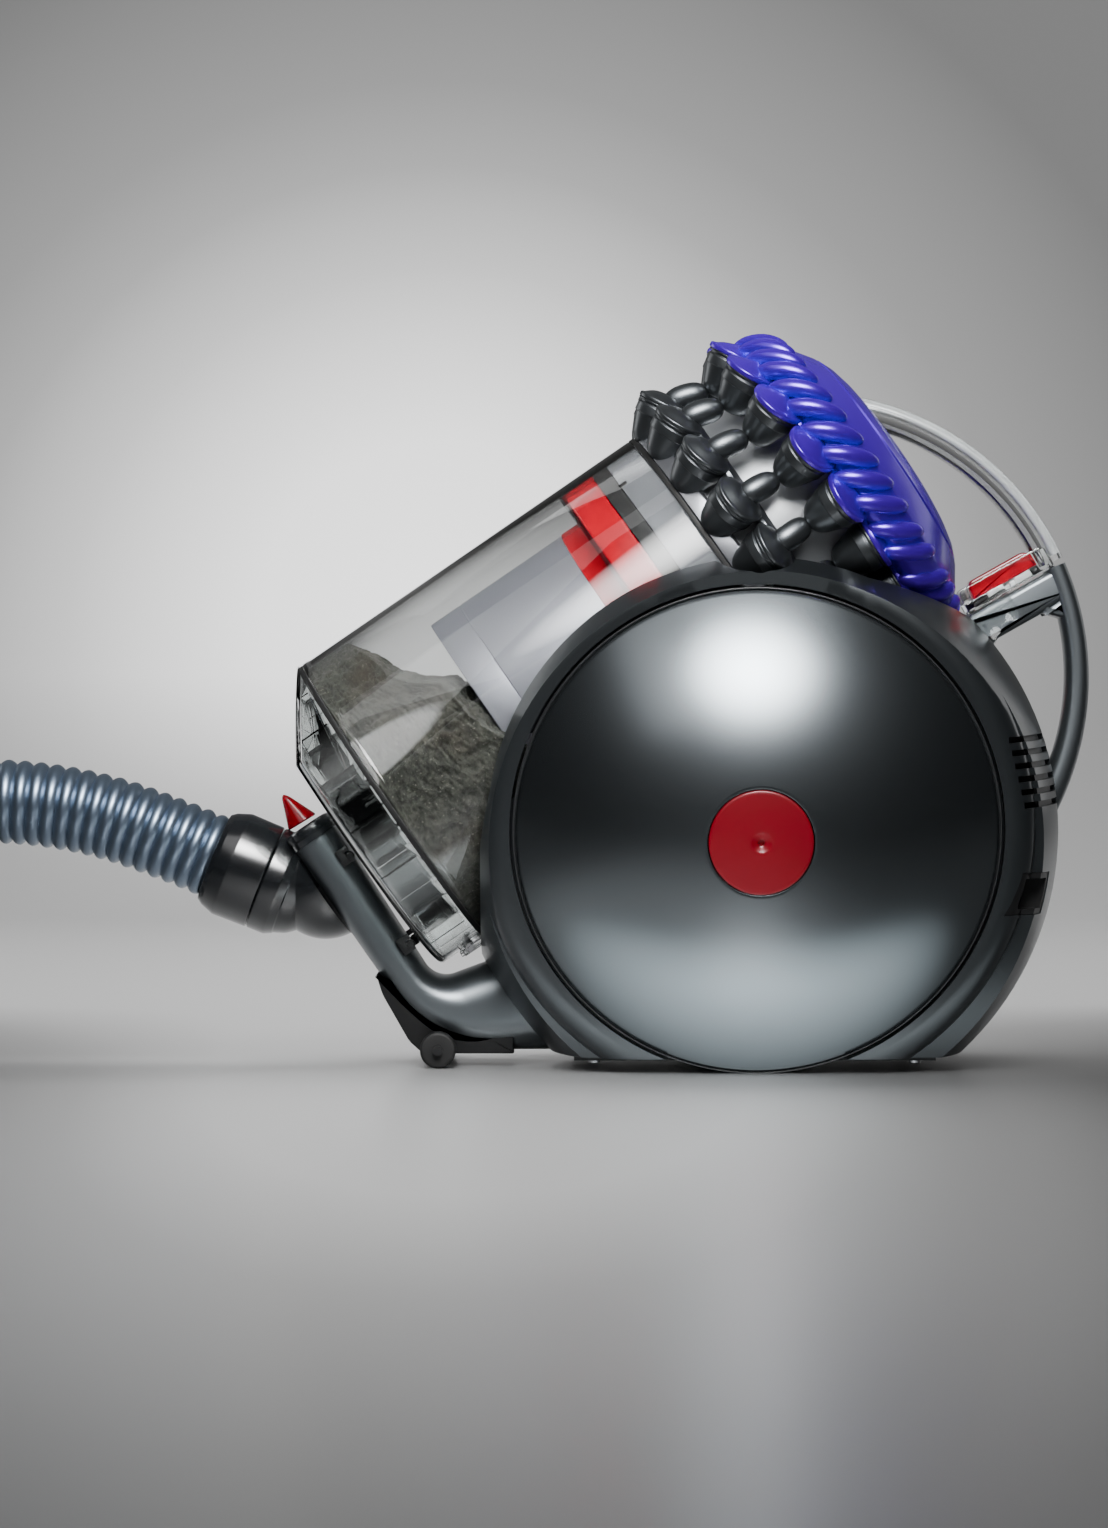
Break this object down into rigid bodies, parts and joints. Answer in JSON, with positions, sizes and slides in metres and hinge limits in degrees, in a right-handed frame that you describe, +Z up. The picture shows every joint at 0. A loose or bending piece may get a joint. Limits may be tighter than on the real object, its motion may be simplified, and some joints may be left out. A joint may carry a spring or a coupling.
{
  "type": "cylinder vacuum cleaner",
  "caption": "Ball-bodied cylinder vacuum cleaner with domed side wheels, tilted clear dust bin, two tiers of small cyclones and a corrugated hose.",
  "frame": {"origin": "on the floor under the middle of the machine without its hose", "axes": "+X to the rear, where the handle is; the hose leaves at -X; +Y to the far wheel; +Z up"},
  "size_m": [1.0812, 0.5997, 0.3667],
  "materials": {
    "ball_shell": "satin, fine texture",
    "wheel_shell": "satin metallic",
    "black_plastic": "matt",
    "tread": "soft matt",
    "steel": "machined",
    "duct_grey": "satin",
    "elbow_grey": "gloss",
    "hose_blue_grey": "metallic sheen",
    "red_gloss": "gloss",
    "button_grey": "satin",
    "clear": "clear, polished",
    "clear_floor": "clear, ribbed",
    "seal_rubber": "matt",
    "silver": "satin silver",
    "cyclone_grey": "gloss",
    "core_grey": "gloss",
    "violet": "gloss, pearl",
    "cap_silver": "satin silver",
    "filter_felt": "felt",
    "copper_core": "cast"
  },
  "bodies": {
    "machine": {"casing_near": "ball_shell", "casing_far": "ball_shell", "bin_cradle": "black_plastic", "underplate": "black_plastic", "louvre_screen": "black_plastic", "cable_outlet": "black_plastic", "axle_near": "steel", "axle_far": "steel", "inlet_duct": "duct_grey", "duct_collar": "elbow_grey", "duct_clips": "black_plastic", "chin_plate": "black_plastic", "hose_elbow": "elbow_grey", "rear_handle": "ball_shell", "motor_bucket": "black_plastic", "motor_mounts": "seal_rubber", "motor": "copper_core", "exhaust_filter": "filter_felt", "reel_bracket": "steel", "case_screws": "steel", "hose": "hose_blue_grey", "wand_cuff": "elbow_grey", "wand_handle": "elbow_grey"},
    "near_wheel": {"near_wheel_dome": "wheel_shell", "near_wheel_tyre": "tread", "near_wheel_hub": "black_plastic", "near_hub_cap": "red_gloss"},
    "far_wheel": {"far_wheel_dome": "wheel_shell", "far_wheel_tyre": "tread", "far_wheel_hub": "black_plastic", "far_hub_cap": "red_gloss"},
    "rollers": {"front_rollers": "tread", "roller_shaft": "steel"},
    "hose_cuff": {"hose_cuff": "elbow_grey"},
    "duct_latch": {"duct_latch": "red_gloss"},
    "power_button": {"power_button": "red_gloss"},
    "rewind_button": {"rewind_button": "button_grey"},
    "impeller": {"impeller": "steel"},
    "cable_reel": {"cable_reel": "black_plastic"},
    "bin": {"bin_tube": "clear", "base_door": "clear_floor", "bin_floor": "clear_floor", "base_seal": "seal_rubber", "hinge_pin": "steel", "shroud": "silver", "red_collar": "red_gloss", "seal_band": "seal_rubber", "bin_head": "silver", "seam_ring": "seal_rubber", "cyclone_core": "core_grey", "cyclones_lower": "cyclone_grey", "lids_lower": "cyclone_grey", "cyclones_upper": "cyclone_grey", "violet_cover": "violet", "end_cap": "cap_silver", "carry_handle": "clear", "handle_core": "button_grey"},
    "base_catch": {"base_catch": "clear_floor"},
    "release_button": {"release_button": "red_gloss"}
  },
  "joints": [
    {"name": "near_wheel_roll", "type": "hinge", "parent": "machine", "child": "near_wheel", "pos_m": [0.0535, -0.086, 0.11945], "axis": [0, -0.9954, -0.0958], "continuous": true},
    {"name": "far_wheel_roll", "type": "hinge", "parent": "machine", "child": "far_wheel", "pos_m": [0.0535, 0.086, 0.11945], "axis": [0, 0.9954, -0.0958], "continuous": true},
    {"name": "roller_roll", "type": "hinge", "parent": "machine", "child": "rollers", "pos_m": [-0.104, 0, 0.009], "axis": [0, 1, 0], "continuous": true},
    {"name": "cuff_swivel", "type": "hinge", "parent": "machine", "child": "hose_cuff", "pos_m": [-0.1924, 0, 0.0938], "axis": [-0.9272, 0, 0.3746], "continuous": true},
    {"name": "bin_lift", "type": "slide", "parent": "machine", "child": "bin", "axis": [-0.5664, 0, 0.8241], "range_m": [0, 0.2]},
    {"name": "catch_swing", "type": "hinge", "parent": "bin", "child": "base_catch", "pos_m": [-0.1736, 0, 0.1831], "axis": [0, -1, 0], "range_deg": [0, 10], "stiffness_Nm_per_rad": 0.02, "springref_deg": -2.86},
    {"name": "release_press", "type": "slide", "parent": "bin", "child": "release_button", "axis": [0.4909, 0, -0.8712], "range_m": [0, 0.003], "stiffness_N_per_m": 200, "springref_m": -0.002},
    {"name": "latch_swing", "type": "hinge", "parent": "machine", "child": "duct_latch", "pos_m": [-0.1785, 0, 0.1194], "axis": [0, -1, 0], "range_deg": [0, 12], "stiffness_Nm_per_rad": 0.02, "springref_deg": -2.86},
    {"name": "power_press", "type": "slide", "parent": "machine", "child": "power_button", "axis": [-0.8988, 0, -0.4384], "range_m": [0, 0.003], "stiffness_N_per_m": 200, "springref_m": -0.002},
    {"name": "rewind_press", "type": "slide", "parent": "machine", "child": "rewind_button", "axis": [-0.8988, 0, -0.4384], "range_m": [0, 0.003], "stiffness_N_per_m": 200, "springref_m": -0.002},
    {"name": "impeller_spin", "type": "hinge", "parent": "machine", "child": "impeller", "pos_m": [0.045, 0, 0.062], "axis": [0, 1, 0], "continuous": true},
    {"name": "reel_spin", "type": "hinge", "parent": "machine", "child": "cable_reel", "pos_m": [0.14, 0, 0.058], "axis": [0, 1, 0], "continuous": true}
  ]
}
